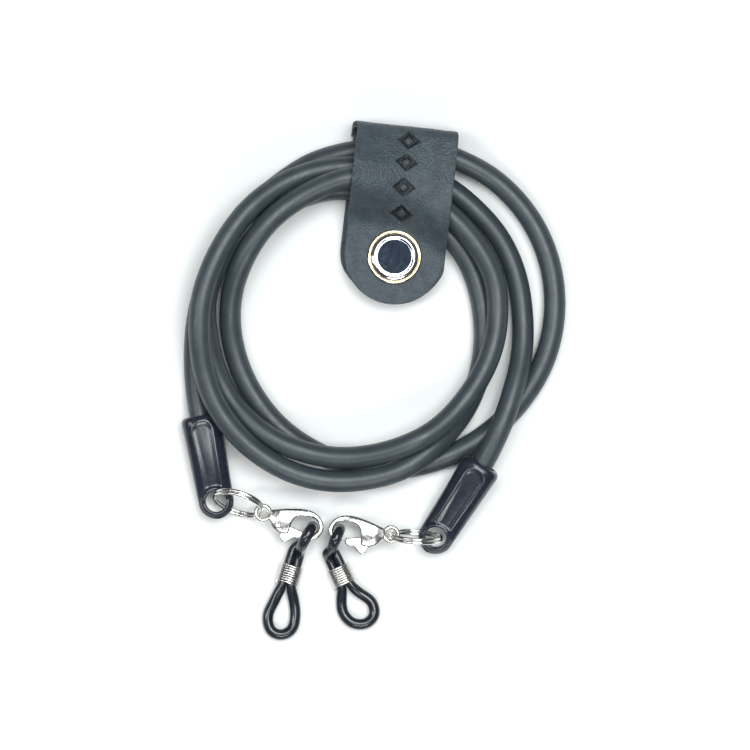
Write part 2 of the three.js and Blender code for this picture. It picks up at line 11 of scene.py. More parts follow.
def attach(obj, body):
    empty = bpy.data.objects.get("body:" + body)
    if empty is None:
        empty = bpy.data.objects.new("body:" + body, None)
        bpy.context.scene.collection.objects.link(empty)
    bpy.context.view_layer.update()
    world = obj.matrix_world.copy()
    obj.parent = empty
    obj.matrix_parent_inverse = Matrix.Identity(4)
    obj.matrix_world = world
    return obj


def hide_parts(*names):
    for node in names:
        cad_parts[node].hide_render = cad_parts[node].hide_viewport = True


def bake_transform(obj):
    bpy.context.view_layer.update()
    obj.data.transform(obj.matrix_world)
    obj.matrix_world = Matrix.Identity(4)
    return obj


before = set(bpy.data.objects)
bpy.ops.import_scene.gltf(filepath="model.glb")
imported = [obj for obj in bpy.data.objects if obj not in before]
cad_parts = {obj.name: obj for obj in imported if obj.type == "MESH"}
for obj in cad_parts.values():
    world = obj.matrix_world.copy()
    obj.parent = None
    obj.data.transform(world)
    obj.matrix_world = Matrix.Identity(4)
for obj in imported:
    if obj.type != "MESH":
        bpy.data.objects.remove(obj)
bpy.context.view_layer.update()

MM = 0.001
scene = bpy.context.scene
scene.view_settings.view_transform = "Standard"

# ---- camera ----
LENS = 200.0
ACROSS = 0.138
camera_data = bpy.data.cameras.new("camera")
camera_data.lens = LENS
camera_data.sensor_width = 36.0
camera_data.clip_start = 0.05
camera_data.clip_end = 20.0
camera = bpy.data.objects.new("camera", camera_data)
camera.location = (0.00661, 0.00132, 0.004 + ACROSS * LENS / 36.0)
scene.collection.objects.link(camera)
scene.camera = camera

# ---- the cord's route: angle in degrees about the coil's middle, distance and height in metres ----
CORD_R = 0.0020
COIL = (0.0053, 0.0129)
ROUTE = [
    (205.5, 0.0350, 0.0025), (198, 0.0336, 0.0021), (189, 0.0323, 0.0020), (180, 0.0313, 0.0020),
    (168, 0.0301, 0.0020), (157, 0.0295, 0.0020), (145, 0.0290, 0.0020), (134, 0.0287, 0.0020),
    (122, 0.0288, 0.0021), (110, 0.0294, 0.0026), (101, 0.0295, 0.00335), (90, 0.0300, 0.0035),
    (78, 0.0310, 0.0035), (66, 0.0321, 0.0035), (56, 0.0329, 0.0034), (45, 0.0339, 0.0024),
    (30, 0.0346, 0.0021), (15, 0.0348, 0.0020), (0, 0.0345, 0.0020), (-15, 0.0338, 0.0020),
    (-30, 0.0326, 0.0020), (-45, 0.0315, 0.0020), (-58, 0.0306, 0.0020), (-72, 0.0298, 0.0020),
    (-86, 0.0290, 0.0020), (-100, 0.0282, 0.0020), (-114, 0.0274, 0.0020), (-130, 0.0267, 0.0020),
    (-148, 0.0260, 0.0020), (-162, 0.0257, 0.0023), (-176, 0.0255, 0.0034), (-189, 0.0252, 0.0057),
    (-200, 0.0248, 0.0078), (-211, 0.0246, 0.0091), (-224, 0.0245, 0.0094), (-237, 0.0243, 0.0090),
    (-250, 0.0244, 0.0095), (-261, 0.0248, 0.0102), (-273, 0.0247, 0.0093), (-286, 0.0241, 0.0078),
    (-300, 0.0236, 0.0069), (-314, 0.0233, 0.0067), (-328, 0.0235, 0.0063), (-345, 0.0241, 0.0056),
    (-360, 0.0239, 0.0054), (-375, 0.0239, 0.0059), (-390, 0.0239, 0.0063), (-405, 0.0242, 0.0066),
    (-418, 0.0249, 0.0077), (-429, 0.0253, 0.0088), (-440, 0.0258, 0.0080), (-452, 0.0266, 0.0069),
    (-466, 0.0277, 0.0063), (-484, 0.0290, 0.0059), (-498, 0.0297, 0.0049), (-510, 0.0301, 0.0038),
    (-522, 0.0299, 0.0047), (-534, 0.0298, 0.0060), (-546, 0.0299, 0.0062), (-558, 0.0288, 0.0061),
    (-570, 0.0274, 0.0058), (-582, 0.0261, 0.0053), (-595, 0.0248, 0.0041), (-610, 0.0239, 0.0035),
    (-622, 0.0229, 0.0035), (-634, 0.0221, 0.0035), (-648, 0.0213, 0.0035), (-664, 0.0208, 0.0035),
    (-678, 0.0206, 0.0034), (-692, 0.0208, 0.0025), (-708, 0.0209, 0.0021), (-722, 0.0214, 0.00205),
    (-736, 0.0224, 0.00205), (-750, 0.0237, 0.00205), (-764, 0.0253, 0.0022), (-776, 0.0266, 0.0036),
    (-787, 0.0280, 0.0057), (-798, 0.0297, 0.0063), (-811, 0.0308, 0.0061), (-824, 0.0320, 0.0061),
    (-838, 0.0327, 0.0068), (-853, 0.0329, 0.0074), (-868, 0.0327, 0.0080), (-880, 0.0319, 0.0086),
    (-892, 0.0311, 0.0099), (-904, 0.0305, 0.0103), (-917, 0.0296, 0.0101), (-930, 0.0290, 0.0097),
    (-943, 0.0287, 0.0088), (-958, 0.0282, 0.0070), (-972, 0.0275, 0.0065), (-985, 0.0268, 0.0065),
    (-997, 0.0268, 0.0050), (-1010, 0.0271, 0.0036), (-1024, 0.0273, 0.0035), (-1038, 0.0274, 0.0029),
    (-1050, 0.0279, 0.0022), (-1065, 0.0282, 0.0020), (-1080, 0.0285, 0.00215), (-1095, 0.0294, 0.0033),
    (-1110, 0.0306, 0.0056), (-1120.5, 0.0322, 0.0062),
]
CAP_DEPTHS = (6.8, 4.5, 2.3, 0.0)


def placed(x, y, z, heading, tip=0.0, tilt=0.0):
    """A frame at x, y, z in mm: turned about X by tip, then about Y by tilt, then about Z by heading."""
    turn = Matrix.Rotation(math.radians(heading), 4, "Z") @ Matrix.Rotation(math.radians(tilt), 4, "Y")
    return Matrix.Translation(Vector((x, y, z)) * MM) @ turn @ Matrix.Rotation(math.radians(tip), 4, "X")


LEFT_CAP = placed(-25.56, -6.13, 3.0, 10.5, -1.0)
RIGHT_CAP = placed(26.43, -15.0, 5.2, -32.6, 7.5)


# ---- curves ----
def through(points, spacing):
    """A centripetal Catmull-Rom curve through the points, as an even row of points."""
    pts = [Vector(p) for p in points]
    pts = [pts[0] * 2 - pts[1], *pts, pts[-1] * 2 - pts[-2]]
    out = []
    for i in range(1, len(pts) - 2):
        p0, p1, p2, p3 = pts[i - 1 : i + 3]
        t0 = 0.0
        t1 = t0 + max(math.sqrt((p1 - p0).length), 1e-6)
        t2 = t1 + max(math.sqrt((p2 - p1).length), 1e-6)
        t3 = t2 + max(math.sqrt((p3 - p2).length), 1e-6)
        steps = max(4, int((p2 - p1).length / spacing * 3))
        for k in range(steps):
            t = t1 + (t2 - t1) * k / steps
            a1 = p0.lerp(p1, (t - t0) / (t1 - t0))
            a2 = p1.lerp(p2, (t - t1) / (t2 - t1))
            a3 = p2.lerp(p3, (t - t2) / (t3 - t2))
            b1 = a1.lerp(a2, (t - t0) / (t2 - t0))
            b2 = a2.lerp(a3, (t - t1) / (t3 - t1))
            out.append(b1.lerp(b2, (t - t1) / (t2 - t1)))
    out.append(pts[-2])
    return evenly(np.array([tuple(p) for p in out]), spacing)


def evenly(line, spacing):
    long = np.concatenate([[0], np.cumsum(np.linalg.norm(np.diff(line, axis=0), axis=1))])
    at = np.linspace(0, long[-1], max(4, int(round(long[-1] / spacing)) + 1))
    return np.stack([np.interp(at, long, line[:, k]) for k in range(3)], axis=1)


def softened(line, rounds):
    line = line.copy()
    for _ in range(rounds):
        line[1:-1] = 0.25 * line[:-2] + 0.5 * line[1:-1] + 0.25 * line[2:]
    return line


def spline(points, t):
    """The point at share t along a uniform Catmull-Rom spline in the plane."""
    count = len(points) - 1
    at = t * count
    i = min(int(at), count - 1)
    w = at - i
    p = [points[max(i - 1, 0)], points[i], points[i + 1], points[min(i + 2, count)]]
    out = []
    for a, b, c, d in zip(*p):
        v0, v1 = (c - a) * 0.5, (d - b) * 0.5
        out.append((2 * b - 2 * c + v0 + v1) * w**3 + (-3 * b + 3 * c - 2 * v0 - v1) * w**2 + v0 * w + b)
    return tuple(out)


def spline_run(points, each=8):
    count = (len(points) - 1) * each
    return [spline(points, k / count) for k in range(count + 1)]


# ---- meshes ----
def mesh_of(name, vertices, faces, looks, smooth=True, sharp=None):
    mesh = bpy.data.meshes.new(name)
    mesh.from_pydata([tuple(v) for v in vertices], [], faces)
    mesh.validate()
    mesh.update()
    for look in looks if isinstance(looks, (list, tuple)) else [looks]:
        mesh.materials.append(look)
    finish_faces(mesh, smooth, sharp)
    obj = bpy.data.objects.new(name, mesh)
    scene.collection.objects.link(obj)
    return obj


def finish_faces(mesh, smooth, sharp):
    mesh.polygons.foreach_set("use_smooth", [smooth] * len(mesh.polygons))
    if sharp is not None:
        mesh.set_sharp_from_angle(angle=math.radians(sharp))
    mesh.update()


def rings_mesh(name, rings, looks, sharp=None):
    """A skin over equal rings of points, with flat ends."""
    rings = np.asarray(rings, float)
    count, sides = rings.shape[:2]
    faces = []
    for i in range(count - 1):
        a, b = i * sides, (i + 1) * sides
        for j in range(sides):
            k = (j + 1) % sides
            faces.append((a + j, a + k, b + k, b + j))
    faces.append(tuple(range(sides - 1, -1, -1)))
    faces.append(tuple(range((count - 1) * sides, count * sides)))
    return mesh_of(name, rings.reshape(-1, 3), faces, looks, True, sharp)


def tube_rings(line, radius, sides=24, up=(0, 0, 1)):
    """Rings round a line with no twist. radius is a number or one number a point."""
    line = np.asarray(line, float)
    tangent = np.gradient(line, axis=0)
    tangent /= np.linalg.norm(tangent, axis=1)[:, None]
    radius = np.broadcast_to(radius, (len(line),))
    normal = np.cross(tangent[0], up)
    if np.linalg.norm(normal) < 1e-3:
        normal = np.cross(tangent[0], (1, 0, 0))
    rings = []
    angles = np.linspace(0, 2 * math.pi, sides, endpoint=False)
    for p, t, r in zip(line, tangent, radius):
        normal = normal - (normal @ t) * t
        normal /= np.linalg.norm(normal)
        side = np.cross(t, normal)
        rings.append(p + r * (np.cos(angles)[:, None] * normal + np.sin(angles)[:, None] * side))
    return np.array(rings)


def lathe(name, profile, pose, looks, sides=96, sharp=35):
    """A profile of (radius, height) in mm turned about the pose's Z, axis to axis or closed on itself."""
    vertices, faces = [], []
    rows = []
    for r, z in profile:
        if r < 1e-6:
            rows.append([len(vertices)])
            vertices.append((0, 0, z))
        else:
            rows.append(list(range(len(vertices), len(vertices) + sides)))
            for k in range(sides):
                a = 2 * math.pi * k / sides
                vertices.append((r * math.cos(a), r * math.sin(a), z))
    for low, high in zip(rows, rows[1:]):
        for k in range(sides):
            n = (k + 1) % sides
            if len(low) == 1 and len(high) > 1:
                faces.append((low[0], high[n], high[k]))
            elif len(high) == 1 and len(low) > 1:
                faces.append((low[k], low[n], high[0]))
            elif len(low) > 1:
                faces.append((low[k], low[n], high[n], high[k]))
    obj = mesh_of(name, [Vector(v) * MM for v in vertices], faces, looks, True, None)
    merge(obj.data)
    finish_faces(obj.data, True, sharp)
    place(obj, pose)
    return obj


def merge(mesh, distance=1e-7):
    b = bmesh.new()
    b.from_mesh(mesh)
    bmesh.ops.remove_doubles(b, verts=b.verts, dist=distance)
    bmesh.ops.recalc_face_normals(b, faces=b.faces)
    b.to_mesh(mesh)
    b.free()
    mesh.update()


def place(obj, pose):
    obj.data.transform(pose)
    obj.data.update()


def cut(obj, tool, sharp=35):
    """Takes the tool's shape away from the object."""
    modifier = obj.modifiers.new("cut", "BOOLEAN")
    modifier.operation = "DIFFERENCE"
    modifier.solver = "EXACT"
    modifier.object = tool
    bpy.context.view_layer.update()
    made = bpy.data.meshes.new_from_object(obj.evaluated_get(bpy.context.evaluated_depsgraph_get()))
    obj.modifiers.clear()
    old = obj.data
    obj.data = made
    made.name = old.name
    bpy.data.meshes.remove(old)
    finish_faces(obj.data, True, sharp)
    bpy.data.objects.remove(tool)


def plate(name, outline, thick, bevel, looks, resolution=4):
    """A flat plate of the outline in mm, with rounded edges, its middle at z = 0."""
    data = bpy.data.curves.new(name, "CURVE")
    data.dimensions = "2D"
    data.fill_mode = "BOTH"
    data.extrude = (thick / 2 - bevel) * MM
    data.bevel_depth = bevel * MM
    data.bevel_resolution = resolution
    data.offset = -bevel * MM
    run = data.splines.new("POLY")
    run.points.add(len(outline) - 1)
    for point, (x, y) in zip(run.points, outline):
        point.co = (x * MM, y * MM, 0, 1)
    run.use_cyclic_u = True
    curve = bpy.data.objects.new(name + "_curve", data)
    scene.collection.objects.link(curve)
    bpy.context.view_layer.update()
    mesh = bpy.data.meshes.new_from_object(curve.evaluated_get(bpy.context.evaluated_depsgraph_get()))
    bpy.data.objects.remove(curve)
    mesh.name = name
    merge(mesh, 2e-7)
    mesh.materials.clear()
    mesh.materials.append(looks)
    finish_faces(mesh, True, 40)
    obj = bpy.data.objects.new(name, mesh)
    scene.collection.objects.link(obj)
    return obj


def smoothstep(x, a, b):
    t = np.clip((np.asarray(x, float) - a) / (b - a), 0, 1)
    return t * t * (3 - 2 * t)


# ---- materials ----
class Look:
    """A procedural surface: colour and roughness stirred by noise, with fine relief."""

    def __init__(self, name, colour, rough, metallic=0.0):
        self.m = bpy.data.materials.new(name)
        self.m.use_nodes = True
        self.tree = self.m.node_tree
        self.shader = next(n for n in self.tree.nodes if n.type == "BSDF_PRINCIPLED")
        self.where = self.node("ShaderNodeTexCoord").outputs["Object"]
        self.shader.inputs["Metallic"].default_value = metallic
        self.shader.inputs["Base Color"].default_value = (*colour, 1)
        self.shader.inputs["Roughness"].default_value = rough
        self.height = None

    def node(self, kind):
        return self.tree.nodes.new(kind)

    def link(self, a, b):
        self.tree.links.new(a, b)

    def noise(self, scale, detail=3.0, rough=0.5):
        n = self.node("ShaderNodeTexNoise")
        n.inputs["Scale"].default_value = scale
        n.inputs["Detail"].default_value = detail
        n.inputs["Roughness"].default_value = rough
        self.link(self.where, n.inputs["Vector"])
        return n.outputs["Fac"]

    def cells(self, scale):
        n = self.node("ShaderNodeTexVoronoi")
        n.feature = "SMOOTH_F1"
        n.inputs["Scale"].default_value = scale
        n.inputs["Smoothness"].default_value = 0.6
        self.link(self.where, n.inputs["Vector"])
        return n.outputs["Distance"]

    def ramp(self, value, stops):
        n = self.node("ShaderNodeValToRGB")
        elements = n.color_ramp.elements
        elements[0].position, elements[0].color = stops[0][0], (*stops[0][1], 1)
        elements[1].position, elements[1].color = stops[1][0], (*stops[1][1], 1)
        for at, colour in stops[2:]:
            elements.new(at).color = (*colour, 1)
        self.link(value, n.inputs["Fac"])
        return n.outputs["Color"]

    def stir_colour(self, value, low, high, a=0.35, b=0.65):
        self.link(self.ramp(value, [(a, low), (b, high)]), self.shader.inputs["Base Color"])
        return self

    def stir_rough(self, value, low, high, a=0.35, b=0.65):
        n = self.node("ShaderNodeMapRange")
        n.inputs["From Min"].default_value = a
        n.inputs["From Max"].default_value = b
        n.inputs["To Min"].default_value = low
        n.inputs["To Max"].default_value = high
        self.link(value, n.inputs["Value"])
        self.link(n.outputs["Result"], self.shader.inputs["Roughness"])
        return self

    def relief(self, value, depth, strength=1.0):
        """depth in metres from the value's 0 to its 1"""
        n = self.node("ShaderNodeBump")
        n.inputs["Strength"].default_value = strength
        n.inputs["Distance"].default_value = depth
        self.link(value, n.inputs["Height"])
        if self.height is not None:
            self.link(self.height, n.inputs["Normal"])
        self.height = n.outputs["Normal"]
        self.link(self.height, self.shader.inputs["Normal"])
        return self

    def set(self, socket, value):
        self.shader.inputs[socket].default_value = value
        return self


def scaled(colour, by):
    return tuple(c * by for c in colour)


RUBBER = (0.038, 0.052, 0.061)
rubber = Look("strap_rubber", RUBBER, 0.5)
rubber.stir_colour(rubber.noise(260, 5, 0.6), scaled(RUBBER, 0.86), scaled(RUBBER, 1.12))
rubber.stir_rough(rubber.noise(900, 3), 0.38, 0.46)
rubber.relief(rubber.noise(9000, 2), 0.000012, 0.6)
rubber.set("Specular IOR Level", 0.6)

MOULDED = (0.014, 0.020, 0.032)
moulded = Look("cap_moulding", MOULDED, 0.2)
moulded.stir_colour(moulded.noise(500, 4), scaled(MOULDED, 0.8), scaled(MOULDED, 1.25))
moulded.stir_rough(moulded.noise(1100, 3), 0.25, 0.29)
moulded.relief(moulded.noise(700, 2), 0.000004, 0.4)
moulded.set("Coat Weight", 0.35)
moulded.set("Coat Roughness", 0.16)

SILICONE = (0.014, 0.019, 0.026)
silicone = Look("loop_silicone", SILICONE, 0.2)
silicone.stir_rough(silicone.noise(2500, 3), 0.14, 0.26)
silicone.stir_colour(silicone.noise(700, 3), scaled(SILICONE, 0.8), scaled(SILICONE, 1.3))
silicone.relief(silicone.noise(2200, 2), 0.00001, 0.5)
silicone.set("Coat Weight", 0.3)
silicone.set("Coat Roughness", 0.06)


def metal(name, colour, rough, grain=3000.0):
    look = Look(name, colour, rough, 1.0)
    look.stir_colour(look.noise(600, 4), scaled(colour, 0.9), tuple(min(1, c * 1.06) for c in colour))
    look.stir_rough(look.noise(grain, 4, 0.6), rough * 0.75, rough * 1.35)
    look.relief(look.noise(grain * 0.4, 2), 0.000006, 0.5)
    return look


wire = metal("ring_wire", (0.82, 0.81, 0.78), 0.14)
plating = metal("clasp_plating", (0.80, 0.79, 0.76), 0.23, 2200)
pin_steel = metal("pin_steel", (0.70, 0.70, 0.70), 0.22)
collar_wire = metal("collar_wire", (0.82, 0.81, 0.78), 0.2)
nickel = metal("snap_nickel", (0.84, 0.83, 0.82), 0.12, 1500)
# the snap's middle dish: polished metal, its darker bluish colour a painted reflection of the dark camera
# overhead
polished_dish_painted_reflection = metal("snap_dish", (0.52, 0.56, 0.64), 0.05, 1500)
warm_rim = metal("snap_rim", (0.80, 0.68, 0.46), 0.14, 1500)

LEATHER = (0.049, 0.067, 0.081)
leather = Look("keeper_leather", LEATHER, 0.5)
leather.stir_colour(leather.noise(420, 6, 0.65), scaled(LEATHER, 0.78), scaled(LEATHER, 1.2))
leather.stir_rough(leather.noise(1500, 4), 0.36, 0.52)
leather.relief(leather.cells(2600), 0.00017, 0.8)
leather.relief(leather.noise(4200, 5, 0.65), 0.00012, 0.7)
leather.relief(leather.noise(900, 3, 0.6), 0.00008, 0.4)
leather.set("Specular IOR Level", 0.45)
# the debossed diamonds are darkened to 0.15 of the leather's colour: partly the darker stamped leather,
# partly painted shade in the recesses
press_shade_mask = leather.node("ShaderNodeAttribute")
press_shade_mask.attribute_name = "press_shade"
dark = leather.node("ShaderNodeMix")
dark.data_type = "RGBA"
stirred = leather.shader.inputs["Base Color"].links[0].from_socket
leather.link(press_shade_mask.outputs["Fac"], dark.inputs["Factor"])
leather.link(stirred, dark.inputs[6])
dark.inputs[7].default_value = (*scaled(LEATHER, 0.15), 1)
leather.link(dark.outputs[2], leather.shader.inputs["Base Color"])

EDGE = (0.016, 0.017, 0.019)
leather_edge = Look("keeper_edge", EDGE, 0.85)
leather_edge.stir_colour(leather_edge.noise(6000, 5, 0.7), scaled(EDGE, 0.5), scaled(EDGE, 2.6), 0.3, 0.75)
leather_edge.relief(leather_edge.noise(7000, 4), 0.00010, 0.8)


def keep(obj, body, slot, *nodes):
    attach(obj, body)
    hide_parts(*nodes)


# ---- the strap ----
def lead(pose, depths):
    return [pose @ (Vector((0, -d, 0)) * MM) for d in depths]


coil = [
    (COIL[0] + r * math.cos(math.radians(a)), COIL[1] + r * math.sin(math.radians(a)), z)
    for a, r, z in ROUTE
]
path = lead(LEFT_CAP, CAP_DEPTHS) + [Vector(p) for p in coil] + lead(RIGHT_CAP, CAP_DEPTHS[::-1])
centre = softened(through(path, 0.0008), 14)
strap = rings_mesh("strap", tube_rings(centre, CORD_R, 32), rubber.m)
keep(strap, "strap", "strap_rubber", "strap_cord")


# ---- end caps: mouth at the origin, the eyelet towards -Y ----
CAP_LEN, CAP_W, CAP_H, CAP_END_R, CAP_END_H, EYELET_R = 16.1, 7.5, 6.0, 3.25, 2.6, 2.0
CAP_WHOLE = CAP_LEN + CAP_END_R - 0.02
CAP_LIP, CAP_SQUARENESS, CAP_BORE_R, CAP_BORE = 1.2, 0.78, 2.12, 7.2
PANEL_FROM, PANEL_TO, PANEL_DEPTH, PANEL_RIDGE, EYELET_RIDGE = 1.3, 14.4, 0.16, 0.09, 0.36


def cap_half(s):
    """Half the cap's width and half its height, s mm from its mouth."""
    along = min(s / CAP_LEN, 1)
    w = CAP_W / 2 + (CAP_END_R - CAP_W / 2) * along
    h = CAP_H / 2 + (CAP_END_H - CAP_H) * 0.5 * along**2.2
    if s < CAP_LIP:
        lip = 1 - math.sqrt(max(0, 1 - (1 - s / CAP_LIP) ** 2))
        w -= 1.05 * lip
        h -= 0.6 * lip
    if s > CAP_LEN:
        reach = min((s - CAP_LEN) / CAP_END_R, 1)
        w = CAP_END_R * math.sqrt(max(0, 1 - reach * reach))
        h *= 1 - 0.45 * reach**3
    return w, h


def stadium(x, s, half, start, end):
    """Distance inside a long rounded panel, below 0 outside it."""
    mid = min(max(s, start + half), end - half)
    return half - math.hypot(x, s - mid)


def end_cap(name, pose, node):
    sides, rings = 120, []
    stations = [CAP_LIP * (1 - math.cos(math.pi / 2 * k / 10)) for k in range(10)]
    stations += list(np.linspace(CAP_LIP, CAP_LEN, 110))
    stations += [CAP_LEN + (CAP_WHOLE - CAP_LEN) * math.sin(math.pi / 2 * k / 30) for k in range(1, 31)]
    for s in stations:
        w, h = cap_half(s)
        ring = []
        for i in range(sides):
            a = 2 * math.pi * i / sides
            ca, sa = math.cos(a), math.sin(a)
            x = math.copysign(abs(ca) ** CAP_SQUARENESS, ca) * w
            z = math.copysign(abs(sa) ** CAP_SQUARENESS, sa) * h
            inside = stadium(x, s, 1.85 - 0.035 * s, PANEL_FROM, PANEL_TO)
            level = 1 if z > 0 else -1
            if abs(sa) > 0.3:
                z -= level * PANEL_DEPTH * float(smoothstep(inside, -0.1, 0.6))
                z += level * PANEL_RIDGE * math.exp(-(((inside + 0.3) / 0.35) ** 2))
                rho = math.hypot(x, s - CAP_LEN)
                z += level * EYELET_RIDGE * math.exp(-(((rho - 2.35) / 0.42) ** 2))
            ring.append((x * MM, -s * MM, z * MM))
        rings.append(ring)
    cap = rings_mesh(name, rings, moulded.m, sharp=40)
    merge(cap.data)
    place(cap, pose)
    mouth = [(0, 1), (2.7, 1), (2.5, 0.0), (CAP_BORE_R, -0.3), (CAP_BORE_R, -CAP_BORE), (0, -CAP_BORE)]
    cut(cap, lathe(name + "_bore", mouth, pose @ Matrix.Rotation(-math.pi / 2, 4, "X"), moulded.m, 48))
    hole = []
    for k in range(13):
        z = 1.9 * (2 * k / 12 - 1)
        hole.append((EYELET_R - 0.1 + 0.25 * (abs(z) / 1.9) ** 3, z))
    hole = [(0, -3.5), (2.3, -3.5), *hole, (2.3, 3.5), (0, 3.5)]
    cut(cap, lathe(name + "_hole", hole, pose @ Matrix.Translation((0, -CAP_LEN * MM, 0)), moulded.m, 64))
    keep(cap, "strap", "cap_moulding", node)


end_cap("left_cap", LEFT_CAP, "left_end_cap")
end_cap("right_cap", RIGHT_CAP, "right_end_cap")


# ---- split rings: two turns of wire, stepped up where they part ----
RING_R, RING_WIRE_R, RING_STEP, RING_GAP = 4.68, 0.29, 0.64, 24


def split_ring(name, pose, body, node):
    line = []
    for a in np.arange(RING_GAP, 720 - RING_GAP + 0.1, 3):
        z = (float(smoothstep(a, 364 - RING_GAP, 356 + RING_GAP)) - 0.5) * RING_STEP
        turn = math.radians(a)
        line.append((RING_R * math.cos(turn) * MM, RING_R * math.sin(turn) * MM, z * MM))
    ring = rings_mesh(name, tube_rings(line, RING_WIRE_R * MM, 16), wire.m, sharp=60)
    place(ring, pose)
    keep(ring, body, "ring_wire", node)


split_ring("left_key_ring", placed(-18.45, -22.25, 4.75, -18, 66), "left_ring", "left_split_ring")
split_ring("right_key_ring", placed(14.1, -28.4, 5.05, -4, 98), "right_ring", "right_split_ring")


# ---- lobster clasps: eye at the origin, hook towards +X, spine towards +Y ----
PIVOT = (3.2, -1.5)
LEFT_CLASP = placed(-14.0, -24.05, 4.0, -14)
RIGHT_CLASP = placed(9.55, -28.0, 4.0, -7) @ Matrix.Rotation(math.pi, 4, "Y")


def clasp_outline():
    out = spline_run([(1.15, 0.85), (1.9, 1.15), (3.7, 1.75), (5.9, 2.3), (8.0, 2.55), (9.9, 2.1),
                      (11.15, 0.95), (11.55, -0.5), (11.0, -1.95), (10.0, -2.7), (9.0, -2.9)])
    out += spline_run([(8.75, -2.0), (9.6, -1.75), (10.35, -1.1), (10.6, -0.2), (10.1, 0.85),
                       (8.8, 1.35), (7.1, 1.2), (6.0, 0.6), (5.6, -0.4)])
    out += spline_run([(5.4, -2.6), (4.2, -2.85), (2.5, -2.35), (1.6, -1.25), (1.15, -0.85)])
    return out


def box_tool(name, low, high, pose):
    corners = [Vector((x, y, z)) * MM for x in (low[0], high[0]) for y in (low[1], high[1])
               for z in (low[2], high[2])]
    faces = [(0, 1, 3, 2), (4, 6, 7, 5), (0, 4, 5, 1), (2, 3, 7, 6), (0, 2, 6, 4), (1, 5, 7, 3)]
    tool = mesh_of(name, corners, faces, plating.m, False)
    place(tool, pose)
    return tool


def clasp(side, pose):
    still = Matrix.Identity(4)
    body = plate(side + "_clasp", clasp_outline(), 2.4, 0.42, plating.m, 5)
    cut(body, box_tool("slot", (1.9, -4.3, -0.78), (6.9, 0.2, 0.78), still), 40)
    cast(body, 0.09, 5)
    for v in body.data.vertices:
        x, y = v.co.x / MM, v.co.y / MM
        thick = 0.6 + 0.42 * float(smoothstep(x, 0.8, 3.4)) * (1 - 0.5 * float(smoothstep(x, 6.4, 9.2)))
        if x < 8:
            thick *= 1.08 - 0.42 * min(1, abs(y + 0.3) / 2.6) ** 1.7
        v.co.z *= thick
    profile = [(1.32 + 0.40 * math.cos(a), 0.52 * math.sin(a)) for a in np.linspace(-math.pi, math.pi, 17)]
    eye = lathe("eye", profile, still, plating.m, 56, sharp=80)
    body.data.materials.clear()
    body.data.materials.append(plating.m)
    joined = join(side + "_clasp", [body, eye])
    place(joined, pose)
    keep(joined, side + "_clasp", "clasp_plating", side + "_clasp_body")

    lever = spline_run([(-0.95, 0.5), (0.2, 0.95), (1.8, 0.45), (3.6, 0.1), (4.95, -0.2)])
    lever += spline_run([(5.1, -1.2), (4.3, -1.55), (3.4, -1.6), (2.7, -2.2), (2.2, -2.7), (1.4, -2.75),
                         (0.9, -2.2), (0.6, -1.5), (-0.5, -1.0), (-1.1, -0.2)])
    arm = plate(side + "_lever", lever, 1.0, 0.26, plating.m, 4)
    cast(arm, 0.07, 4)
    pivot = pose @ Matrix.Translation((PIVOT[0] * MM, PIVOT[1] * MM, 0))
    place(arm, pivot)
    keep(arm, side + "_lever", "clasp_plating", side + "_clasp_lever")
    rivet = [(0, -1.24), (0.34, -1.22), (0.42, -1.12), (0.42, 1.12), (0.34, 1.22), (0, 1.24)]
    pin = lathe(side + "_rivet_pin", rivet, pivot, pin_steel.m, 40)
    keep(pin, side + "_clasp", "pin_steel", side + "_clasp_pin")


def cast(obj, grain, rounds):
    """Turns a cut plate into an even skin with the soft edges of a casting."""
    modifier = obj.modifiers.new("skin", "REMESH")
    modifier.mode = "VOXEL"
    modifier.voxel_size = grain * MM
    even = obj.modifiers.new("even", "SMOOTH")
    even.factor, even.iterations = 0.5, rounds
    bpy.context.view_layer.update()
    made = bpy.data.meshes.new_from_object(obj.evaluated_get(bpy.context.evaluated_depsgraph_get()))
    look = obj.data.materials[0]
    obj.modifiers.clear()
    obj.data = made
    made.materials.clear()
    made.materials.append(look)
    finish_faces(made, True, None)


def join(name, objects):
    """One mesh of several, each left as it is."""
    vertices, faces = [], []
    for o in objects:
        base = len(vertices)
        vertices += [tuple(v.co) for v in o.data.vertices]
        faces += [tuple(base + i for i in p.vertices) for p in o.data.polygons]
    look = objects[0].data.materials[0]
    for o in objects:
        bpy.data.objects.remove(o)
    return mesh_of(name, vertices, faces, look, True, 70)


clasp("left", LEFT_CLASP)
clasp("right", RIGHT_CLASP)


# ---- glasses loops and their collars ----
LOOP_R, PINCH, COLLAR_LEN, SLIDE = 1.0, 0.82, 3.9, 2.0
COLLAR_TURNS, COLLAR_END, COLLAR_A, COLLAR_B, COLLAR_WIRE_R = 8, 0.2, 2.0, 1.35, 0.185
LEFT_NECK = {"x": -8.57, "y": -33.63, "z": 1.65, "along": (-0.276, -0.961), "first": 1}
RIGHT_NECK = {"x": -0.4, "y": -34.0, "z": 1.65, "along": (0.426, -0.905), "first": -1}
LEFT_HOOK = [(-7.0, -29.9, 1.25), (-6.0, -28.3, 1.05), (-5.3, -27.2, 1.5), (-4.92, -26.6, 2.9),
             (-4.88, -26.53, 4.0), (-4.92, -26.6, 5.1), (-5.3, -27.2, 6.5), (-6.1, -28.6, 6.7),
             (-6.85, -30.1, 5.4)]
RIGHT_HOOK = [(-1.3, -30.5, 1.25), (-0.75, -29.0, 1.05), (-0.2, -27.85, 1.5), (0.12, -27.1, 2.9),
              (0.15, -27.05, 4.0), (0.12, -27.1, 5.1), (-0.2, -27.85, 6.5), (-0.75, -29.2, 6.7),
              (-1.3, -30.6, 4.8)]
LEFT_DROP = [(-11.9, -40.2, 1.15), (-13.2, -43.2, 1.05), (-12.6, -45.9, 1.05), (-10.7, -46.7, 1.05),
             (-8.7, -45.6, 1.05), (-8.1, -43.0, 1.05), (-8.4, -40.2, 1.15)]
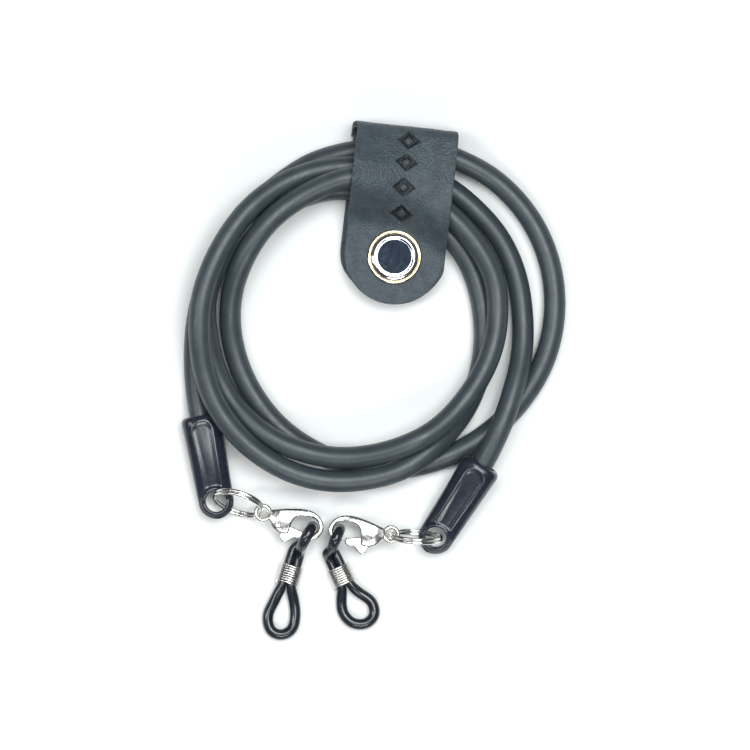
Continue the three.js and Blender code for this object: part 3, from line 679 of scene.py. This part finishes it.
RIGHT_DROP = [(3.6, -38.8, 1.15), (6.0, -40.6, 1.05), (6.5, -43.0, 1.05), (4.9, -44.6, 1.05),
              (2.5, -44.5, 1.05), (0.7, -42.6, 1.05), (0.4, -40.0, 1.15)]


def glasses_loop(side, neck, hook, drop):
    ax, ay = neck["along"]
    first, z = neck["first"], neck["z"]

    def beside(d, way, apart=0.82, rise=0.0):
        """A point d mm down the neck from the collar's top, on one side of its middle."""
        return (neck["x"] + ax * d + way * apart * ay, neck["y"] + ay * d - way * apart * ax, z + rise)

    points = [beside(1.7, first), beside(0.5, first), beside(-1.1, first, 0.82, -0.05)]
    points += [beside(-2.1, first, 0.8, -0.1), beside(-3.1, first, 0.6, -0.45)]
    points += hook + [beside(-3.0, -first, 0.75, 1.35), beside(-2.1, -first, 0.82, 0.15)]
    points += [beside(-1.1, -first, 0.82, 0.05)]
    points += [beside(d, -first) for d in (0.5, 2.2, COLLAR_LEN)] + drop[::-1]
    points += [beside(d, first) for d in (COLLAR_LEN, 3.2, 2.0)]
    line = softened(through([Vector(p) * MM for p in points], 0.0003), 6)
    top = np.array([neck["x"], neck["y"], z]) * MM
    along = np.array([ax, ay, 0])
    s = (line - top) @ along / MM
    off = np.linalg.norm(line - top - np.outer((line - top) @ along, along), axis=1) / MM
    outside = np.maximum(np.maximum((-SLIDE - s) / 2, s - COLLAR_LEN), 0)
    held = np.where(off < 3, 1 - smoothstep(outside, 0, 1.4), 0)
    radius = LOOP_R * (1 + (PINCH - 1) * softened(np.stack([held] * 3, axis=1), 8)[:, 0]) * MM
    loop = rings_mesh(side + "_loop", tube_rings(line, radius, 28), silicone.m)
    keep(loop, side + "_loop", "loop_silicone", side + "_glasses_loop")

    run = []
    steps = COLLAR_TURNS * 40
    for i in range(steps + 1):
        t = 2 * math.pi * i / 40
        y = COLLAR_END + (COLLAR_LEN - 2 * COLLAR_END) * i / steps
        run.append((COLLAR_A * math.cos(t) * MM, y * MM, COLLAR_B * math.sin(t) * MM))
    heading = math.degrees(math.atan2(-ax, ay))
    coiled = rings_mesh(side + "_collar", tube_rings(run, COLLAR_WIRE_R * MM, 12), collar_wire.m, sharp=60)
    place(coiled, placed(neck["x"], neck["y"], z, heading))
    keep(coiled, side + "_collar", "collar_wire", side + "_loop_collar")


glasses_loop("left", LEFT_NECK, LEFT_HOOK, LEFT_DROP)
glasses_loop("right", RIGHT_NECK, RIGHT_HOOK, RIGHT_DROP)


# ---- leather keeper: u from the fold to the round end, v across ----
KEEPER_W, KEEPER_LEN, KEEPER_T, SNAP_U, SNAP_LEVEL, FOLD_Z = 18.6, 32.8, 1.2, 24.1, 4.5, 6.2
HALF_W = KEEPER_W / 2
KEEPER = placed(12.86, 46.96, 0, -6.4)
MARKS = [2.9, 6.9, 11.4, 15.9]
PRESS_DEPTH, SKEW = 0.4, 1.1
# the middle surface's grid, where the fold and the top of the flap begin along it, and its rounded rim
COLUMNS, SHARES, FOLD_SHARE, TOP_SHARE, RIM, TAIL = 61, 241, 0.3, 0.35, 0.28, 44


def flap_line(v):
    top = 10.6 + (3.1 * (-v / HALF_W) ** 0.75 if v < 0 else 0)
    ridge = 11.1 + (0.8 * v / HALF_W if v < 0 else 4.2 * v / HALF_W)
    end = 18.0 + (4.7 * v / HALF_W if v > 0 else 0)
    shoulder = 8.9 + 0.12 * (top - 10)
    start = ridge + 1.3
    return [
        (2.6, 0.65), (1.35, 1.15), (0.75, 2.4), (0.6, 4.2), (0.6, FOLD_Z), (0.75, FOLD_Z + 1.2),
        (1.25, shoulder - 0.75), (2.6, shoulder), ((2.6 + ridge) / 2, (shoulder + top) / 2 + 0.35),
        (ridge - 1.2, top), (start, top - 0.2), ((start * 2 + end) / 3, (top * 2 + SNAP_LEVEL) / 3 + 0.1),
        ((start + end * 2) / 3, (top + SNAP_LEVEL * 2) / 3), (end, SNAP_LEVEL + 0.15),
        (end + 1.4, SNAP_LEVEL), (26, SNAP_LEVEL), (29.5, SNAP_LEVEL - 0.1), (KEEPER_LEN, SNAP_LEVEL - 0.3),
    ]


def back_line(_):
    return [(2.6, 0.65), (5, 0.65), (15, 0.6), (24, 0.6), (KEEPER_LEN - 0.45, 0.6)]


def lozenge(u, v, at):
    """How deep inside a debossed diamond the point is, from 0 outside to 1."""
    d = 1 - (abs(u - at) / 1.75 + abs(v - 0.3) / 2.3)
    ring = 1 - (abs(u - at) / 0.85 + abs(v - 0.3) / 1.1)
    return float(smoothstep(d, 0.0, 0.2)) - 0.8 * float(smoothstep(ring, 0.0, 0.3))


def eased(grid, rounds, start=1):
    """Smooths the grid in place along its second axis, from the point start on."""
    for _ in range(rounds):
        before, after = grid[:, start - 1 : -2], grid[:, start + 1 :]
        grid[:, start:-1] = 0.25 * before + 0.5 * grid[:, start:-1] + 0.25 * after


def middle_surface(line_at, half):
    """The strip's middle as u and z, for each column across and each share along."""
    shares = np.linspace(0, 1, SHARES)
    columns = np.linspace(-half, half, COLUMNS)
    grid = np.array([[spline(line_at(v), t) for t in shares] for v in columns])
    eased(grid.swapaxes(0, 1), 60)
    eased(grid, 90)
    eased(grid, 150, SHARES // 2)
    return grid


def sample(table, half, v, t):
    """The table's value at v across and share t along."""
    c = (v + half) / (2 * half) * (COLUMNS - 1)
    r = t * (SHARES - 1)
    i, j = min(int(c), COLUMNS - 2), min(int(r), SHARES - 2)
    a, b = c - i, r - j
    near = table[i][j] * (1 - a) + table[i + 1][j] * a
    far = table[i][j + 1] * (1 - a) + table[i + 1][j + 1] * a
    return near * (1 - b) + far * b


def strip_steps(middle, centre_u, half, rows):
    """Shares along the strip, even at first and crowded at its round end."""
    run, shares = middle[:, 0], np.linspace(0, 1, SHARES)
    turned = next(k for k in range(SHARES) if run[k] > centre_u and shares[k] > FOLD_SHARE)
    straight = turned / (SHARES - 1)
    begin = int(straight * (SHARES - 1))
    steps = list(np.linspace(0, straight, rows))
    for k in range(1, TAIL + 1):
        want = centre_u + half * math.sin(math.pi / 2 * k / TAIL)
        steps.append(float(np.interp(want, run[begin:], shares[begin:])))
    return steps


def strip_lanes(half, across):
    """Shares across the strip from -1 to 1, crowded along its two edges."""
    near = [1 - x / half for x in (0.0, 0.03, 0.09, 0.18, RIM)]
    inner = [x for x in np.linspace(-1, 1, across) if abs(x) < near[-1] - 0.005]
    return sorted(set([-n for n in near] + near + inner))


def unevenness(u, v, t, marked):
    """How far the leather swells at a point, in mm: the marked flap has a crumpled band too."""
    if marked:
        q = Vector((u * 0.9, v * 0.9, 0.3))
        soft = noise.noise(q * 0.35) * 0.10 + noise.noise(q * 1.4) * 0.025
        crease = math.exp(-(((u - 7.4 - 0.05 * v) / 1.1) ** 2)) if t > TOP_SHARE else 0
        return soft + crease * 0.10 * noise.noise(Vector((u * 2.2, v * 1.1, 4)))
    soft = noise.noise(Vector((u * 0.5, v * 0.5, 9))) * 0.03
    return max(soft, 0) if t > 0.02 else soft


def leather_strip(name, line_at, inset, rows, across, marks, shift):
    half = HALF_W - inset
    centre_u = line_at(0)[-1][0] - half
    grid = middle_surface(line_at, half)
    slope = np.gradient(grid, axis=1)
    slope /= np.linalg.norm(slope, axis=2)[:, :, None]
    lanes = strip_lanes(half, across)
    loops, press_shade_values = [], []
    for t in strip_steps(grid[COLUMNS // 2], centre_u, half, rows):
        mid_u = sample(grid, half, 0, t)[0]
        rounded = mid_u > centre_u and t > FOLD_SHARE
        width = half
        if rounded:
            width = max(math.sqrt(max(half**2 - (mid_u - centre_u) ** 2, 0)), 0.02)
        over, under, press_shade_mask = [], [], []
        for lane in lanes:
            v = lane * width
            (u, z), d = sample(grid, half, v, t), sample(slope, half, v, t)
            n = np.array([-d[1], d[0]]) / max(np.linalg.norm(d), 1e-9)
            edge = half - (math.hypot(u - centre_u, v) if rounded else abs(v))
            edge = min(max(edge, 0), RIM)
            h = KEEPER_T / 2 - RIM * 0.8 + RIM * 0.8 * math.sqrt(max(1 - (1 - edge / RIM) ** 2, 0))
            dent = max([lozenge(u, v, m) for m in marks] + [0]) if t > TOP_SHARE else 0
            soft = unevenness(u, v, t, bool(marks))
            high = h - PRESS_DEPTH * dent + soft
            low = -h + (soft if marks else 0)
            side = v + shift(u, z)
            over.append((side, -(u + n[0] * high), z + n[1] * high))
            under.append((side, -(u + n[0] * low), z + n[1] * low))
            # each point's depth inside a diamond, kept as the mask for the painted shade in the debossed
            # recesses
            press_shade_mask.append(max(dent, 0))
        press_shade_values += [0.0] * len(press_shade_mask) + press_shade_mask[::-1]
        loops.append([tuple(c * MM for c in p) for p in under + over[::-1]])
    obj = rings_mesh(name, loops, [leather.m, leather_edge.m])
    obj.data.attributes.new("press_shade", "FLOAT", "POINT").data.foreach_set("value", press_shade_values)
    around = len(loops[0])
    edges = ({len(lanes) - 1, len(lanes)}, {0, around - 1})
    for f in obj.data.polygons:
        if len(f.vertices) == 4 and {i % around for i in f.vertices} in edges:
            f.material_index = 1
    obj.data.update()
    place(obj, KEEPER)
    return obj


def back_drift(u, _):
    return -SKEW * (1 - float(smoothstep(u, 26, 32.5)))


def fold_drift(u, z):
    return -SKEW * (1 - float(smoothstep(z, 1.5, 9.5))) if u < 4 else 0


flap_grain, back_grain = (((230, 120), (110, 80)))
flap = leather_strip("keeper_top", flap_line, 0.0, *flap_grain, MARKS, fold_drift)
back = leather_strip("keeper_under", back_line, 0.35, *back_grain, [], back_drift)
keep(back, "strap", "keeper_leather", "keeper_back")


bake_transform(flap)
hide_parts("keeper_flap")

# ---- snap ----
SNAP = KEEPER @ Matrix.Translation((0, -SNAP_U * MM, 0))
SEAT = SNAP_LEVEL + KEEPER_T / 2 + 0.1
DISH_R, WARM_R = 3.4, 4.4
LOWER = SNAP_LEVEL - KEEPER_T / 2 - 0.1


def raised(level, points):
    return [(r, z + level) for r, z in points]


cap_profile = raised(SNAP_LEVEL, [(0, -1.25), (1.3, -1.25)])
cap_profile += raised(SEAT, [
    (1.3, -0.1), (4.7, -0.1), (4.95, 0), (5.0, 0.22), (4.93, 0.42), (4.75, 0.52), (4.55, 0.50),
    (4.46, 0.44), (4.44, 0.5), (4.42, 0.62), (4.36, 0.76), (4.24, 0.88), (4.05, 0.97), (3.85, 1.03),
    (3.72, 1.07), (3.62, 1.08), (3.52, 1.06), (3.42, 1.01), (3.34, 0.985), (3.1, 0.98), (2.2, 0.96),
    (1.2, 0.948), (0, 0.943),
])
head = lathe("snap_head", cap_profile, SNAP, [nickel.m, warm_rim.m, polished_dish_painted_reflection.m], 128, sharp=50)
for f in head.data.polygons:
    c = SNAP.inverted() @ f.center
    if math.hypot(c.x, c.y) > WARM_R * MM and c.z > SEAT * MM:
        f.material_index = 1
    # the middle dish takes the darker metal: a painted reflection of the camera overhead
    if math.hypot(c.x, c.y) < DISH_R * MM and c.z > SEAT * MM:
        f.material_index = 2
keep(head, "flap", "snap_nickel", "snap_cap")

ring_profile = [(2.1, 2.2), (2.3, 2.1), (2.75, 2.1), (3.0, 2.25), (3.1, 2.5)]
ring_profile += raised(LOWER, [(3.1, -0.75), (3.25, -0.6), (3.9, -0.5), (4.05, -0.3), (4.0, 0), (1.8, 0),
                               (1.8, -0.5), (1.95, -0.8)])
ring_profile += ring_profile[:1]
keep(lathe("snap_ring", ring_profile, SNAP, nickel.m), "flap", "snap_nickel", "snap_socket")

post_profile = [(0, 1.25), (3.5, 1.25), (3.65, 1.4), (3.6, 1.6), (3.2, 1.8), (1.6, 1.93), (1.38, 2.05),
                (1.36, 2.25), (1.55, 2.4), (1.66, 2.6), (1.55, 2.82), (1.25, 2.98), (0.8, 3.04), (0, 3.06)]
keep(lathe("snap_post", post_profile, SNAP, nickel.m), "strap", "snap_nickel", "snap_stud")

foot_profile = [(0, 0.05), (3.5, 0.02), (3.8, 0.12), (3.9, 0.22), (3.8, 0.36), (1.2, 0.4), (1.2, 1.2),
                (0, 1.2)]
keep(lathe("snap_foot", foot_profile, SNAP, nickel.m), "strap", "snap_nickel", "snap_back_rivet")

# ---- table and light ----
TABLE = (0.90, 0.90, 0.895)
table = Look("table_top", TABLE, 0.55)
table.stir_colour(table.noise(14, 3), scaled(TABLE, 0.985), scaled(TABLE, 1.01))
table.relief(table.noise(1800, 3), 0.00001, 0.3)
table.set("Specular IOR Level", 0.3)
TABLE_SIZE, SEGMENTS, TABLE_Z = 3.0, 12, -0.00005
ticks = [TABLE_SIZE * (i / SEGMENTS - 0.5) for i in range(SEGMENTS + 1)]
firsts = [i * (SEGMENTS + 1) + j for i in range(SEGMENTS) for j in range(SEGMENTS)]
squares = [(a, a + SEGMENTS + 1, a + SEGMENTS + 2, a + 1) for a in firsts]
floor = mesh_of("floor", [(x, y, TABLE_Z) for x in ticks for y in ticks], squares, table.m)

world = bpy.data.worlds.new("studio")
scene.world = world
world.use_nodes = True
ground = next(n for n in world.node_tree.nodes if n.type == "BACKGROUND")
ground.inputs["Color"].default_value = (0.92, 0.96, 1.0, 1)
ground.inputs["Strength"].default_value = 0.09


def softbox(name, where, target, width, height, watts, colour=(1, 1, 1), shape="RECTANGLE"):
    data = bpy.data.lights.new(name, "AREA")
    data.shape = shape
    data.size, data.size_y = width, height
    data.energy = watts
    data.color = colour
    lamp = bpy.data.objects.new(name, data)
    lamp.location = where
    lamp.rotation_mode = "QUATERNION"
    lamp.rotation_quaternion = (Vector(target) - Vector(where)).to_track_quat("-Z", "Y")
    lamp.visible_camera = False
    scene.collection.objects.link(lamp)
    return lamp


softbox("sky_disc", (0.12, 0.15, 0.95), (0, 0, 0), 0.66, 0.66, 9.6, (0.94, 0.99, 1.0), "DISK")
softbox("left_box", (-0.42, -0.02, 0.62), (0, 0, 0), 0.12, 0.5, 1.5)
softbox("near_box", (0.05, -0.50, 0.60), (0, 0, 0), 0.4, 0.1, 1.6)

# a dark card over the lens, which level metal mirrors
shade = Look("card_paint", (0.06, 0.09, 0.14), 0.7)
card_profile = [(0, 800), (88, 800), (90, 800.5), (88, 801), (0, 801)]
card = lathe("lens_card", card_profile, placed(-8, 25, 0, 0), shade.m, 48)
